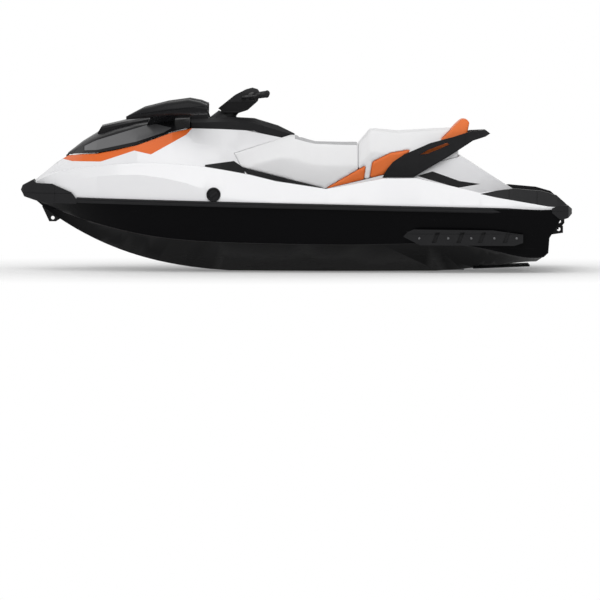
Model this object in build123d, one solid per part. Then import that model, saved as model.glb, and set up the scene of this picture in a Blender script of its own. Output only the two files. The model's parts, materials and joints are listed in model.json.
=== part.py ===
"""Three-seat personal watercraft: a jet-driven runabout with a black hull, a white deck and orange accents.

Millimetres. +X is the bow, +Y is port, +Z is up. The origin is under the middle of the craft, on the floor
that its keel pad stands on. Outlines seen from the side are lists of (x, z), outlines seen from above are
lists of (x, y), and sections across the craft are lists of (y, z) for the port half.
"""

from build123d import *
from math import cos, pi, radians, sin
import os

os.makedirs("parts", exist_ok=True)

# Bond plane, where the hull and the deck mouldings meet: it rises gently towards the bow
BOND_Z = 417.0
BOND_SLOPE = 0.022
FAR = 2000.0  # beyond the craft in every direction, for cutting shapes
OVERLAP = 40.0  # how far a lofted moulding runs past the bond plane before it is trimmed
BOND_STEP = 5.0  # how far the deck's foot stands in from the hull's edge, under the rub rail

# Hull bottom and stern
CHINE_FLAT = 40.0
CHINE_DROP = 5.0
STERN_X = -1645.0

# Rub rail along the bond plane
RAIL_STAND = 14.0
RAIL_BELOW = 24.0
RAIL_ABOVE = 9.0
RAIL_ROUND = 7.0
RAIL_DEPTH = 30.0
RAIL_FRONT_X = 1335.0
RAIL_BACK_X = -1560.0

# Cockpit: footwells, gunwales and the stern platform
GUNWALE_WIDTH = 50.0
COCKPIT_FRONT_X = 540.0
FOOTWELL_FRONT_X = 330.0
FOOTWELL_BACK_X = -1020.0
PLATFORM_FRONT_X = -1190.0
PLATFORM_BACK_X = -1585.0
PEDESTAL_HALF = 284.0
FLOOR_Z = 345.0
FLOOR_WALL = 8.0
PLATFORM_Z = 440.0
MAT_THICK = 6.0
MAT_MARGIN = 12.0

# Jet pump
PUMP_Z = 152.0
PUMP_FRONT_X = -1092.0
PUMP_R = 98.0
PUMP_BORE_R = 80.0
FLANGE = 26.0
FLANGE_THICK = 14.0
STATOR_X = -1262.0
VENTURI_X = -1330.0
VENTURI_END_X = -1420.0
VENTURI_NECK_X = -1372.0
VENTURI_NECK_R = 61.0
VENTURI_END_R = 58.0
VENTURI_WALL = 9.0
STATOR_HUB_R = 35.0
STATOR_VANES = 7
VANE_THICK = 6.0
TUNNEL_HALF = 165.0
TUNNEL_TOP = 345.0
TUNNEL_SLOPE = 30.0
DUCT_HALF = 85.0
DUCT_MOUTH_FRONT_X = -665.0
DUCT_MOUTH_BACK_X = -1040.0
DUCT_LIP_Z = 14.0
SHAFT_R = 14.0
RUN_GAP = 0.3  # running gap round shafts and pins
TIP_GAP = 1.0  # between impeller blades and the pump bore
BLADES = 4
BLADE_THICK = 7.0
BLADE_PITCH = 55.0
BLADE_ROOT_R = 20.0
IMPELLER_FRONT_X = -1118.0
IMPELLER_BACK_X = -1250.0

# Steering nozzle and reverse gate
NOZZLE_FRONT_X = -1405.0
NOZZLE_BACK_X = -1505.0
NOZZLE_FRONT_R = 82.0
NOZZLE_BACK_R = 60.0
NOZZLE_WALL = 8.0
NOZZLE_PIVOT_X = -1413.0
NOZZLE_PIN_R = 6.0
GATE_PIVOT_X = -1350.0
GATE_PIN_R = 8.0
GATE_ARM_Y = 112.0
GATE_WALL = 8.0
GATE_R = 175.0
GATE_FROM_DEG = 48.0
GATE_TO_DEG = 110.0

# Engine block in its bay
ENGINE_FRONT_X = 200.0
ENGINE_BACK_X = -520.0
ENGINE_HALF = 200.0
ENGINE_FLOOR_Z = 95.0
ENGINE_HEIGHT = 370.0
BAY_GAP = 15.0

# Front storage bin and its lid
BIN_FRONT_X = 1215.0
BIN_BACK_X = 775.0
BIN_HALF = 215.0
BIN_FLOOR_Z = 500.0
BIN_WALL = 5.0
BIN_FRONT_TOP_Z = 672.0
BIN_BACK_TOP_Z = 790.0
HOOD_GAP = 5.0
HOOD_SKIN = 10.0
HOOD_REAR_WALL = 50.0
HOOD_CEILING = 1100.0
HINGE_X = 1397.0
HINGE_Z = 706.0
HINGE_PIN_R = 4.0
HINGE_KNUCKLE_R = 8.0
HINGE_HALF = 30.0

# Steering head
STEER_X = 440.0
STEER_Z = 905.0
STEER_RAKE = 38.0
STEM_R = 36.0
STEM_LENGTH = 190.0
BOOT_R = 60.0
BOOT_TOP = 80.0
COLLAR_FOOT = -40.0
COLLAR_FOOT_R = 92.0
COLLAR_TOP = 45.0
COLLAR_TOP_R = 70.0
COLLAR_LOW_Z = 900.0
BAR_R = 11.0
BAR_BEND_Y = 120.0
BAR_END_Y = 392.0
BAR_SWEEP = 145.0
BAR_RISE = 20.0
GRIP_R = 17.0
GRIP_LENGTH = 125.0
GRIP_CAP = 6.0
STEM_FOOT = 12.0
BAR_T = 200.0  # height of the handlebar up the steering axis

# Glove box lid hinge
GLOVE_X = 288.0
GLOVE_Z = 931.0

# Seat seen from the side
SADDLE_TOE = (330, 640)
SADDLE_NOSE = (372, 726)
CONSOLE_TAIL = (0, 842)
SEAT_LOW = (-185, 505)
SEAT_HEEL = (-1000, 700)
SEAT_SPLIT_X = -388.0
SEAT_HALF = 300.0

# Eyes that a strap, shackle or tow line goes through
EYE_BORE_R = 11.0
EYE_THICK = 18.0


def bond_z(x):
    """Height of the bond plane at x."""
    return BOND_Z + BOND_SLOPE * x


def section(x, half, crown=0.0):
    """Closed section at x from its port half, bottom up. The top runs across, crowned by an arc."""
    points = [Vector(x, y, z) for y, z in half] + [Vector(x, -y, z) for y, z in reversed(half)]
    if not crown:
        return Wire.make_polygon(points, close=True)
    top = len(half)
    edges = [
        Edge.make_line(a, b)
        for i, (a, b) in enumerate(zip(points, points[1:] + points[:1]), 1)
        if i != top
    ]
    peak = Vector(x, 0, half[-1][1] + crown)
    edges.insert(top - 1, Edge.make_three_point_arc(points[top - 1], peak, points[top]))
    return Wire(edges)


def ring(x, y, z, half_w, half_h):
    """Oval section at x of a mirror pod."""
    turn = 2 * pi / MIRROR_SIDES
    corners = [Vector(x, y + half_w * cos(i * turn), z + half_h * sin(i * turn)) for i in range(MIRROR_SIDES)]
    return Wire.make_polygon(corners, close=True)


def skin(sections, smooth=False):
    """Solid through a run of closed sections: straight between them, or a smooth curve through them."""
    return Solid.make_loft(sections, not smooth)


def side_prism(outline, y_low=-FAR, y_high=FAR):
    """An outline of (x, z) seen from the side, carried across from y_low to y_high."""
    face = Face(Wire.make_polygon([Vector(x, y_low, z) for x, z in outline], close=True))
    return extrude(face, amount=y_high - y_low, dir=(0, 1, 0))


def plan_prism(outline, z_low=-FAR, z_high=FAR):
    """An outline of (x, y) seen from above, carried up from z_low to z_high."""
    face = Face(Wire.make_polygon([Vector(x, y, z_low) for x, y in outline], close=True))
    return extrude(face, amount=z_high - z_low, dir=(0, 0, 1))


def front_prism(half, x_low=-FAR, x_high=FAR):
    """A symmetrical outline of (y, z) seen from ahead, carried along from x_low to x_high."""
    face = Face(section(x_low, half))
    return extrude(face, amount=x_high - x_low, dir=(1, 0, 0))


def both_sides(half_plan):
    """A plan outline from its port half, listed from the bow aft."""
    return half_plan + [(x, -y) for x, y in reversed(half_plan)]


def box(x_low, x_high, y_low, y_high, z_low, z_high):
    """Block between two corners."""
    return plan_prism([(x_low, y_low), (x_high, y_low), (x_high, y_high), (x_low, y_high)], z_low, z_high)


def rod(start, end, radius):
    """Round bar between two points."""
    start, end = Vector(*start), Vector(*end)
    return Solid.make_cylinder(radius, (end - start).length, Plane(start, z_dir=end - start))


def turned(profile, z=PUMP_Z):
    """Solid of revolution about the fore and aft line at height z, from a profile of (x, radius)."""
    face = Face(Wire.make_polygon([Vector(x, 0, z + r) for x, r in profile], close=True))
    return revolve(face, Axis((0, 0, z), (1, 0, 0)))


def across(shape):
    """The starboard twin of a port piece."""
    return mirror(shape, about=Plane.XZ)


def pair(shape):
    """A port piece and its starboard twin."""
    return [shape, across(shape)]


def largest(shape):
    """The one main solid of a shape, without the crumbs that a cut can leave."""
    return max(shape.solids(), key=lambda s: s.volume)


# Hull: x, keel height, half-width of the keel pad, chine half-width and height, half-width at the bond plane
HULL = [
    (1590, 428, 6, 16, 436, 40),
    (1453, 322, 10, 85, 372, 205),
    (1200, 180, 16, 215, 292, 350),
    (900, 73, 24, 335, 226, 446),
    (500, 7, 45, 440, 190, 528),
    (100, -8, 92, 500, 180, 575),
    (-500, -8, 118, 528, 178, 597),
    (-1000, 10, 125, 524, 174, 595),
    (-1660, 40, 125, 500, 168, 558),
]
# Stern seen from the side, from the bond plane down to the keel: the platform overhangs a raked transom
STERN_OUTLINE = [(-1613, 326), (-1562, 240), (-1546, 215), (-1540, 123), (-1459, 49), (-1425, 0)]

# Deck sides: x, half-width at the bond plane, crease half-width and height,
# gunwale half-width and height, crown
DECK = [
    (1600, 42, 46, 500, 30, 540, 6),
    (1540, 118, 124, 514, 92, 574, 18),
    (1459, 200, 206, 530, 158, 604, 26),
    (1340, 280, 284, 560, 242, 628, 22),
    (1208, 346, 350, 585, 312, 645, 18),
    (1080, 394, 398, 595, 358, 658, 14),
    (936, 437, 440, 596, 392, 668, 10),
    (800, 471, 472, 578, 418, 665, 8),
    (665, 500, 500, 548, 440, 656, 6),
    (548, 520, 520, 508, 458, 645, 4),
    (431, 537, 538, 470, 476, 626, 4),
    (275, 557, 556, 448, 504, 598, 4),
    (120, 573, 571, 438, 527, 560, 4),
    (-190, 588, 585, 428, 546, 512, 4),
    (-340, 594, 590, 427, 548, 540, 4),
    (-536, 598, 594, 425, 548, 577, 4),
    (-740, 598, 594, 422, 547, 578, 4),
    (-954, 596, 591, 416, 545, 530, 4),
    (-1124, 591, 586, 411, 543, 489, 4),
    (-1330, 580, 575, 405, 530, 515, 4),
    (-1500, 568, 562, 400, 520, 500, 4),
    (-1590, 561, 555, 397, 517, 474, 4),
    (-1650, 556, 550, 395, 515, 420, 4),
]
# Cowl between the hood and the seat: x, then the half-width and height of its foot, its knee and its top
COWL = [
    (1592, 24, 515, 22, 545, 12, 560),
    (1459, 145, 560, 118, 630, 60, 668),
    (1394, 195, 580, 150, 665, 60, 706),
    (1300, 258, 600, 215, 680, 176, 716),
    (1208, 302, 610, 283, 680, 258, 721),
    (969, 375, 630, 350, 735, 334, 772),
    (752, 418, 620, 362, 790, 344, 851),
    (632, 418, 600, 335, 790, 290, 876),
    (450, 395, 590, 292, 760, 172, 870),
    (300, 314, 560, 262, 730, 150, 862),
    (60, 262, 500, 240, 700, 110, 812),
]
# Hood: x, edge half-width and height, shoulder half-width and height, crown
HOOD = [
    (1394, 28, 714, 24, 721, 4),
    (1300, 178, 722, 105, 770, 28),
    (1208, 262, 727, 165, 814, 40),
    (1090, 304, 750, 198, 854, 40),
    (969, 338, 778, 228, 888, 36),
    (860, 347, 818, 246, 910, 32),
    (752, 348, 857, 262, 927, 30),
    (642, 312, 882, 252, 936, 26),
]
# Raised middle of the hood: x, foot half-width, top half-width, top height, crown
HOOD_RIDGE = [
    (1212, 96, 84, 880, 8),
    (1015, 150, 122, 922, 12),
    (800, 190, 150, 962, 14),
    (644, 196, 160, 976, 14),
]
# Space behind the raised middle's sloping nose, seen from the side
RIDGE_NOSE = [(1212, 700), (1210, 848), (1183, 892), (1183, FAR), (600, FAR), (600, 700)]
# Mirror pod: x, middle across and up, half-width, half-height
MIRROR = [
    (1030, 296, 940, 14, 10),
    (930, 330, 970, 44, 33),
    (782, 362, 995, 60, 45),
    (650, 378, 1007, 66, 51),
    (578, 384, 1002, 62, 42),
    (540, 386, 995, 54, 33),
]
MIRROR_SIDES = 14
# Mirror arm: distance across, then its outline of (x, z)
MIRROR_ARM = [
    (214, [(915, 872), (890, 938), (752, 950), (742, 884)]),
    (340, [(880, 948), (862, 984), (734, 1000), (724, 962)]),
]
GLASS_RIM = 6.0
GLASS_THICK = 4.0
# Console: x, half-width, underside height, shoulder height, top half-width, top height
CONSOLE = [
    (672, 172, 872, 908, 134, 928),
    (400, 158, 868, 915, 118, 942),
    (250, 140, 858, 905, 100, 934),
    (104, 98, 812, 862, 66, 890),
    (2, 52, 822, 832, 40, 840),
]
# Driver's saddle: x, skirt half-width, flank half-width, shoulder half-width, shoulder height, crown
SADDLE = [
    (385, 352, 330, 296, 732, 10),
    (240, 300, 286, 206, 788, 12),
    (90, 266, 250, 130, 830, 14),
    (0, 262, 238, 158, 820, 14),
    (-60, 260, 236, 166, 798, 13),
    (-125, 258, 234, 172, 781, 12),
    (-300, 256, 234, 176, 777, 12),
    (-390, 256, 234, 178, 778, 12),
]
# Passenger's seat: the same columns
PILLION = [
    (-386, 256, 234, 178, 772, 12),
    (-464, 256, 234, 176, 864, 12),
    (-628, 256, 234, 172, 848, 12),
    (-794, 254, 230, 166, 858, 12),
    (-1000, 246, 218, 152, 868, 12),
]
SKIRT_Z = 470.0
FLANK_DROP = 130.0


# Outlines seen from the side, as (x, z): coloured panels let into the deck
TRIM_TAIL = [(625, 880), (662, 839), (878, 719), (980, 742), (1185, 674), (1367, 674), (1440, 690)]
VENT = [(548, 656), (372, 678), (306, 632), (306, 560), (548, 590)]
STRIP_FOOT = [(-185, 468), (330, 604)]
STRIP_REAR = [(-745, 585), (-841, 613), (-1006, 554), (-1135, 536), (-994, 512)]
GUNWALE_PAD = [(-1124, 483), (-1311, 520), (-1336, FAR), (-FAR, FAR), (-FAR, 380), (-1540, 406), (-1219, 462)]
TRIM_MARGIN = 34.0
TRIM_RISE = 20.0
# Seat: bolster, orange accent and the white slash across it
BOLSTER = [
    (-887, 800), (-948, 859), (-991, 905), (-1022, 931), (-1050, 933),
    (-1070, 911), (-1062, 874), (-1047, 815), (-1000, 790),
]
BOLSTER_FRONT = [(206, 780), (190, 860), (172, 910), (150, 940)]
ACCENT = [(-185, 490), (-193, 512), (-440, 654), (-582, 725), (-715, 747), (-548, 600), (-548, 490)]
ACCENT_SLASH = [(-441, 690), (-476, 690), (-444, 490), (-409, 490)]
# Grab handle from the side, with its slot, then the outside and inside of its loop from above
HANDLE = [
    (-536, 577), (-566, 631), (-600, 671), (-669, 717), (-828, 786), (-976, 825), (-1077, 858),
    (-1170, 864), (-1198, 842), (-1170, 824), (-1090, 800), (-942, 705), (-757, 597), (-726, 577),
]
HANDLE_SLOT = [(-760, 712), (-812, 744), (-930, 788), (-945, 776), (-815, 722)]
HANDLE_OUTSIDE = [(-500, 264), (-900, 264), (-1060, 232), (-1150, 165), (-1200, 110)]
HANDLE_INSIDE = [(-500, 226), (-900, 222), (-1030, 190), (-1110, 130), (-1140, 90)]
# Bumpers: side outlines, then half plans
BOW_BUMPER = [
    (1684, 497), (1672, 526), (1607, 560), (1589, 538), (1487, 536), (1367, 486),
    (RAIL_FRONT_X, 446), (RAIL_FRONT_X, 416), (1539, 420), (1595, 434), (1662, 456),
]
BOW_BUMPER_PLAN = [(1684, 62), (1664, 96), (1590, 146), (1453, 226), (1325, 304)]
STERN_BUMPER = [
    (RAIL_BACK_X, 396), (-1600, 412), (-1660, 413), (-1684, 392),
    (-1684, 362), (-1660, 338), (-1615, 322), (RAIL_BACK_X, 368),
]
STERN_BUMPER_PLAN = [(-1540, 582), (-1600, 575), (-1660, 545), (-1684, 490)]
# Hood's grey side panel, console pieces and steering cover
GREY_PANEL = [
    (1290, 740), (1208, 744), (969, 796), (800, 852),
    (752, 880), (868, 908), (1213, 803), (1290, 766),
]
GLOVE_BOX = [(278, 772), (278, FAR), (60, FAR), (60, 846), (110, 828), (200, 792)]
GLOVE_BOX_PLAN = [(278, 80), (110, 42), (60, 30)]
GLOVE_LID = [(292, 912), (292, FAR), (30, FAR), (30, 846)]
GLOVE_LID_PLAN = [(292, 92), (104, 52), (30, 34)]
LID_GAP = 5.0
LID_PIN_HALF = 112.0
LID_PIN_R = 3.0
# Console's nose from above, let into the hood's rear edge
CONSOLE_NOSE = [(672, 70), (632, 176), (-60, 176)]
GAUGE_POD = [(668, 920), (652, 982), (616, 996), (548, 984), (528, 930)]
GAUGE_HALF = 110.0
SCREEN = [(546, 978), (531, 938), (527, 939.5), (542, 979.5)]
SCREEN_HALF = 78.0
STEERING_COVER = [
    (471, 996), (369, 1077), (300, 1112), (262, 1122), (228, 1112),
    (214, 1088), (228, 1040), (290, 985), (345, 967), (432, 967),
]
COVER_FRONT = [(62, 940), (96, 1040), (92, 1090), (70, 1130)]
# Control pods on the handlebar, each with a lever
POD_R = 25.0
POD_LENGTH = 48.0
POD_GAP = 2.0
LEVER_R = 6.0
LEVER_REACH = 50.0
LEVER_DROP = 6.0
LEVER_SHORT = 15.0
# Sponsons, fuel cap and eyes
SPONSON = [(-640, 232), (-720, 268), (-1200, 262), (-1385, 236), (-1385, 186), (-1330, 168), (-760, 172)]
SPONSON_PLAN = [(-600, 470), (-600, 520), (-760, 578), (-1385, 572), (-1385, 470)]
SPONSON_SLOTS_X = (-830, -980, -1110, -1260)
SPONSON_SLOT = [(0, 186), (-26, 186), (-50, 250), (-24, 250)]
SPONSON_SLOT_Y = 560.0
CAP_X = 494.0
CAP_Z = 478.0
# Fuel cap steps: radius and how far across each reaches
CAP_STEPS = [(44, 540), (31, 547)]
BOW_EYE = (1490, 322)
BOW_LUG = [(1556, 394), (1512, 300), (1470, 300), (1436, 322), (1490, 410)]
STERN_EYE = (-1610, 262)
STERN_LUG = [(-1540, 282), (-1636, 284), (-1636, 240), (-1540, 226)]
STERN_EYE_Y = 330.0
TOW_EYE = (-1626, 300)
TOW_LUG = [(-1562, 362), (-1656, 362), (-1658, 290), (-1640, 270), (-1610, 270), (-1590, 300)]
# Intake grate bars
GRATE_BARS_Y = (-51, -17, 17, 51)
GRATE_HALF = 5.0
# Ride plate that closes the tunnel from below
RIDE_PLATE = [(PUMP_FRONT_X, 14), (PUMP_FRONT_X, 26), (-1440, 40), (-1440, 28)]


def hull_half(x, keel_z, pad_y, chine_y, chine_z, side_y):
    """Port half of a hull section: keel pad, chine flat, topside up past the bond plane."""
    return [
        (pad_y, keel_z),
        (max(chine_y - CHINE_FLAT, (pad_y + chine_y) / 2), chine_z - CHINE_DROP),
        (chine_y, chine_z),
        (side_y, bond_z(x)),
        (side_y, bond_z(x) + OVERLAP),
    ]


def deck_half(x, side_y, crease_y, crease_z, top_y, top_z):
    """Port half of a deck section: topside from below the bond plane, crease, gunwale."""
    return [(side_y - BOND_STEP, bond_z(x) - OVERLAP), (crease_y, crease_z), (top_y, top_z)]


def seat_half(skirt_y, flank_y, shoulder_y, shoulder_z):
    """Port half of a seat section, from the skirt to the shoulder."""
    return [(skirt_y, SKIRT_Z), (flank_y, shoulder_z - FLANK_DROP), (shoulder_y, shoulder_z)]


def hull_solid():
    """Lower moulding, trimmed to the keel plane, the bond plane and the stern."""
    body = skin([section(row[0], hull_half(*row)) for row in HULL], smooth=True)
    trim = [(FAR, 0), (FAR, bond_z(FAR)), (STERN_X, bond_z(STERN_X))] + STERN_OUTLINE
    return body & side_prism(trim)


def deck_side_solid():
    """Upper moulding's outer body, trimmed to the bond plane."""
    body = skin([section(row[0], deck_half(*row[:6]), row[6]) for row in DECK])
    return body & side_prism([(FAR, bond_z(FAR)), (FAR, FAR), (STERN_X, FAR), (STERN_X, bond_z(STERN_X))])


def cockpit_plan(margin=0.0):
    """Inside of the gunwales seen from above, let out by a margin."""
    rows = [row for row in DECK if row[0] < COCKPIT_FRONT_X]
    inner = [(row[0], row[4] - GUNWALE_WIDTH + margin) for row in rows]
    front = [(COCKPIT_FRONT_X + margin, inner[0][1] - 40)]
    return both_sides(front + inner + [(-FAR, inner[-1][1])])


def cockpit_cut():
    """Everything above the footwell floors and the platform, between the gunwales."""
    profile = [
        (COCKPIT_FRONT_X, FAR),
        (COCKPIT_FRONT_X, 648),
        (FOOTWELL_FRONT_X, FLOOR_Z),
        (FOOTWELL_BACK_X, FLOOR_Z),
        (PLATFORM_FRONT_X, PLATFORM_Z),
        (-FAR, PLATFORM_Z),
        (-FAR, FAR),
    ]
    return side_prism(profile) & plan_prism(cockpit_plan())


def floor_pan():
    """Sunken floor that drops below the bond plane into the hull."""
    low = FLOOR_Z - FLOOR_WALL
    front_x, back_x = FOOTWELL_FRONT_X + 50, PLATFORM_FRONT_X + 40
    profile = [
        (front_x, bond_z(front_x)),
        (FOOTWELL_FRONT_X - 4, low),
        (FOOTWELL_BACK_X - 2, low),
        (back_x, bond_z(back_x)),
    ]
    return side_prism(profile) & plan_prism(cockpit_plan(FLOOR_WALL))


def pedestal():
    """Raised middle of the cockpit that carries the seat."""
    profile = [
        (FOOTWELL_FRONT_X - 10, FLOOR_Z - 4),
        (430, 500),
        (430, 640),
        SADDLE_TOE,
        SEAT_LOW,
        SEAT_HEEL,
        (-1010, 712),
        (-1440, PLATFORM_Z - 4),
        (-1160, PLATFORM_Z - 40),
        (FOOTWELL_BACK_X, FLOOR_Z - 4),
    ]
    front = [(PEDESTAL_HALF, FLOOR_Z - 10), (258, 500), (238, 640), (222, 760)]
    plan = [(440, 290), (-850, 290), (-1330, 216), (-1450, 190)]
    return side_prism(profile) & front_prism(front) & plan_prism(both_sides(plan))


def engine_bay(gap=0.0):
    """Space for the engine block, let out by a gap all round but at its floor."""
    return box(
        ENGINE_BACK_X - gap,
        ENGINE_FRONT_X + gap,
        -ENGINE_HALF - gap,
        ENGINE_HALF + gap,
        ENGINE_FLOOR_Z,
        ENGINE_FLOOR_Z + ENGINE_HEIGHT + gap,
    )


def pump_tunnel():
    """Recess for the pump, the nozzle and the gate, and the water duct ahead of it."""
    arch = [
        (TUNNEL_HALF, -OVERLAP),
        (TUNNEL_HALF, TUNNEL_TOP - TUNNEL_SLOPE),
        (TUNNEL_HALF - TUNNEL_SLOPE, TUNNEL_TOP),
    ]
    duct = [
        (DUCT_MOUTH_FRONT_X, -OVERLAP / 2),
        (DUCT_MOUTH_BACK_X, -OVERLAP / 2),
        (DUCT_MOUTH_BACK_X, DUCT_LIP_Z),
        (PUMP_FRONT_X - 1, PUMP_Z - PUMP_BORE_R),
        (PUMP_FRONT_X - 1, PUMP_Z + PUMP_BORE_R),
    ]
    return front_prism(arch, -FAR, PUMP_FRONT_X) + side_prism(duct, -DUCT_HALF, DUCT_HALF)


def hood_form():
    """Storage lid's outer form, with the raised middle."""
    lid = skin([section(x, [(ey, ez), (ty, tz)], crown) for x, ey, ez, ty, tz, crown in HOOD])
    ridge = skin(
        [section(x, [(fy, 740), (fy, tz - 14), (ty, tz)], crown)
         for x, fy, ty, tz, crown in HOOD_RIDGE]
    )
    return lid + (ridge & hood_space(0) & side_prism(RIDGE_NOSE))


def hood_space(clear):
    """Space above the hood's edge line, let out by a clearance: nothing of the deck stands in it."""
    rows = [(x, ey + clear, ez - clear) for x, ey, ez, _, _, _ in HOOD]
    rows[0] = (rows[0][0] + clear,) + rows[0][1:]
    rows[-1] = (rows[-1][0] - clear,) + rows[-1][1:]
    return skin([section(x, [(y, z), (y, HOOD_CEILING)]) for x, y, z in rows])


def hood_hollow():
    """Hollow under the hood's skin, open below."""
    rows = [(x, ey, ez, ty, tz, crown) for x, ey, ez, ty, tz, crown in HOOD[1:]]
    rows[0] = (HOOD[1][0] - HOOD_SKIN,) + rows[0][1:]
    rows[-1] = (HOOD[-1][0] + HOOD_REAR_WALL,) + rows[-1][1:]
    inner = [
        section(
            x,
            [
                (ey - 2 * HOOD_SKIN, ez - 3 * HOOD_SKIN),
                (ey - 2 * HOOD_SKIN, ez + HOOD_SKIN / 2),
                (ty - HOOD_SKIN, tz - HOOD_SKIN),
            ],
            crown,
        )
        for x, ey, ez, ty, tz, crown in rows
    ]
    return skin(inner)


def steer_point(t):
    """Point at a distance t up the steering axis."""
    return (STEER_X - t * sin(radians(STEER_RAKE)), 0, STEER_Z + t * cos(radians(STEER_RAKE)))


def collar_form():
    """Raised collar of the console, round the steering axis."""
    foot = Plane(steer_point(COLLAR_FOOT), z_dir=Vector(*steer_point(1)) - Vector(*steer_point(0)))
    cone = Solid.make_cone(COLLAR_FOOT_R, COLLAR_TOP_R, COLLAR_TOP - COLLAR_FOOT, foot)
    return cone & box(-FAR, FAR, -FAR, FAR, COLLAR_LOW_Z, FAR)


def nose_space(clear):
    """Space of the console's nose from above, let out by a clearance."""
    return plan_prism(both_sides([(x + clear, y + clear / 2) for x, y in CONSOLE_NOSE]))


def bar_point(y):
    """Middle of the handlebar tube at y."""
    x, _, z = steer_point(BAR_T)
    out = max(0.0, abs(y) - BAR_BEND_Y) / (BAR_END_Y - BAR_BEND_Y)
    return (x - BAR_SWEEP * out, y, z + BAR_RISE * out)


def eye(x, z, outline, y=0.0):
    """Flat lug with a bore across it."""
    lug = side_prism(outline, y - EYE_THICK / 2, y + EYE_THICK / 2)
    return lug - rod((x, y - EYE_THICK, z), (x, y + EYE_THICK, z), EYE_BORE_R)


def flank_space(y_low, y_high):
    """Both sides of the craft between two distances from the middle."""
    port = box(-FAR, FAR, y_low, y_high, -FAR, FAR)
    return port + across(port)


def rail_half(x, side_y):
    """Port half of the rub rail's section, as a slab right across."""
    z, y = bond_z(x), side_y + RAIL_STAND
    return [
        (y - RAIL_ROUND, z - RAIL_BELOW),
        (y, z - RAIL_BELOW + RAIL_ROUND),
        (y, z + RAIL_ABOVE - RAIL_ROUND),
        (y - RAIL_ROUND, z + RAIL_ABOVE),
    ]


def gate_point(r, deg):
    """Point at a radius and an angle above straight aft, about the gate's pivot."""
    return (GATE_PIVOT_X - r * cos(radians(deg)), PUMP_Z + r * sin(radians(deg)))


def grown(outline, gap):
    """A lid's outline with its ends let out by a gap, along and down."""
    (front_x, front_z), (back_x, back_z) = outline[0], outline[-1]
    front = [(front_x + gap, front_z - gap), (front_x + gap, FAR)]
    return front + [(back_x - gap, FAR), (back_x - gap, back_z - gap)]


nodes = {}

# Spaces that the mouldings are cut to
saddle_space = side_prism(
    [SADDLE_TOE, SADDLE_NOSE, CONSOLE_TAIL, (-40, FAR), (SEAT_SPLIT_X, FAR), (SEAT_SPLIT_X, 555), SEAT_LOW],
    -SEAT_HALF,
    SEAT_HALF,
)
glove_space = side_prism(GLOVE_BOX) & plan_prism(both_sides(GLOVE_BOX_PLAN))
bin_outer = side_prism(
    [
        (BIN_FRONT_X, BIN_FLOOR_Z),
        (BIN_FRONT_X, BIN_FRONT_TOP_Z),
        (BIN_BACK_X, BIN_BACK_TOP_Z),
        (BIN_BACK_X, BIN_FLOOR_Z),
    ],
    -BIN_HALF,
    BIN_HALF,
)
bin_inner = box(
    BIN_BACK_X + BIN_WALL,
    BIN_FRONT_X - BIN_WALL,
    BIN_WALL - BIN_HALF,
    BIN_HALF - BIN_WALL,
    BIN_FLOOR_Z + BIN_WALL,
    FAR,
)
hinge_pocket = box(
    HINGE_X - 2 * HINGE_KNUCKLE_R,
    HINGE_X + 2 * HINGE_KNUCKLE_R,
    -1.6 * HINGE_HALF,
    1.6 * HINGE_HALF,
    HINGE_Z - 1.5 * HINGE_KNUCKLE_R,
    FAR,
)

# Hull and deck mouldings
hull = hull_solid() - floor_pan() - engine_bay(BAY_GAP) - pump_tunnel()
hull -= rod((ENGINE_BACK_X, 0, PUMP_Z), (PUMP_FRONT_X, 0, PUMP_Z), SHAFT_R + RUN_GAP)
cowl = skin([section(x, [(fy, fz), (ky, kz), (ty, tz)]) for x, fy, fz, ky, kz, ty, tz in COWL])
upper = cowl - hood_space(HOOD_GAP) - saddle_space - hinge_pocket
deck = deck_side_solid() + floor_pan() - cockpit_cut() + pedestal() + upper
deck = deck - engine_bay(BAY_GAP) - glove_space - bin_outer - bin_inner - hinge_pocket

# Coloured panels let into the deck: each is the deck's own skin inside an outline
hood_line = [(row[0], row[2] + TRIM_RISE) for row in HOOD]
under_hood = plan_prism(both_sides([(1360, 90)] + [(row[0], row[1] - TRIM_MARGIN) for row in HOOD[1:]]))
strip_cut = side_prism([SADDLE_TOE, SEAT_LOW] + STRIP_FOOT) + side_prism(STRIP_REAR)
panels = {
    "hood_trim": side_prism(hood_line + TRIM_TAIL) - under_hood,
    "cowl_vents": side_prism(VENT) & flank_space(190, 421),
    "pedestal_strips": strip_cut & flank_space(190, SEAT_HALF),
    "gunwale_pads": side_prism(GUNWALE_PAD) & flank_space(440, FAR),
}
for name, cut in panels.items():
    nodes[name] = deck & cut
    deck = deck - cut
nodes["hull"] = hull
nodes["deck"] = deck

# Seat
saddle = skin([section(row[0], seat_half(*row[1:5]), row[5]) for row in SADDLE]) & saddle_space
pillion_space = side_prism(
    [(SEAT_SPLIT_X, 555), (SEAT_SPLIT_X, FAR), (SEAT_HEEL[0] - 2, FAR), SEAT_HEEL], -SEAT_HALF, SEAT_HALF
)
pillion = skin([section(row[0], seat_half(*row[1:5]), row[5]) for row in PILLION]) & pillion_space
bolster_cut = side_prism(BOLSTER)
pillion -= bolster_cut
accent_cut = (side_prism(ACCENT) - side_prism(ACCENT_SLASH)) & flank_space(190, SEAT_HALF)
nodes["seat_accents"] = (saddle & accent_cut) + (pillion & accent_cut)
saddle -= accent_cut
pillion -= accent_cut
nodes["seat_driver"] = saddle
nodes["seat_passenger"] = pillion
nodes["seat_bolster"] = bolster_cut & front_prism(BOLSTER_FRONT)
handle = side_prism(HANDLE) - side_prism(HANDLE_SLOT)
handle &= plan_prism(both_sides(HANDLE_OUTSIDE)) - plan_prism(both_sides(HANDLE_INSIDE))
for name in ("seat_driver", "seat_passenger", "seat_bolster", "deck", "seat_accents", "pedestal_strips"):
    handle -= nodes[name]
nodes["grab_handle"] = handle

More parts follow.
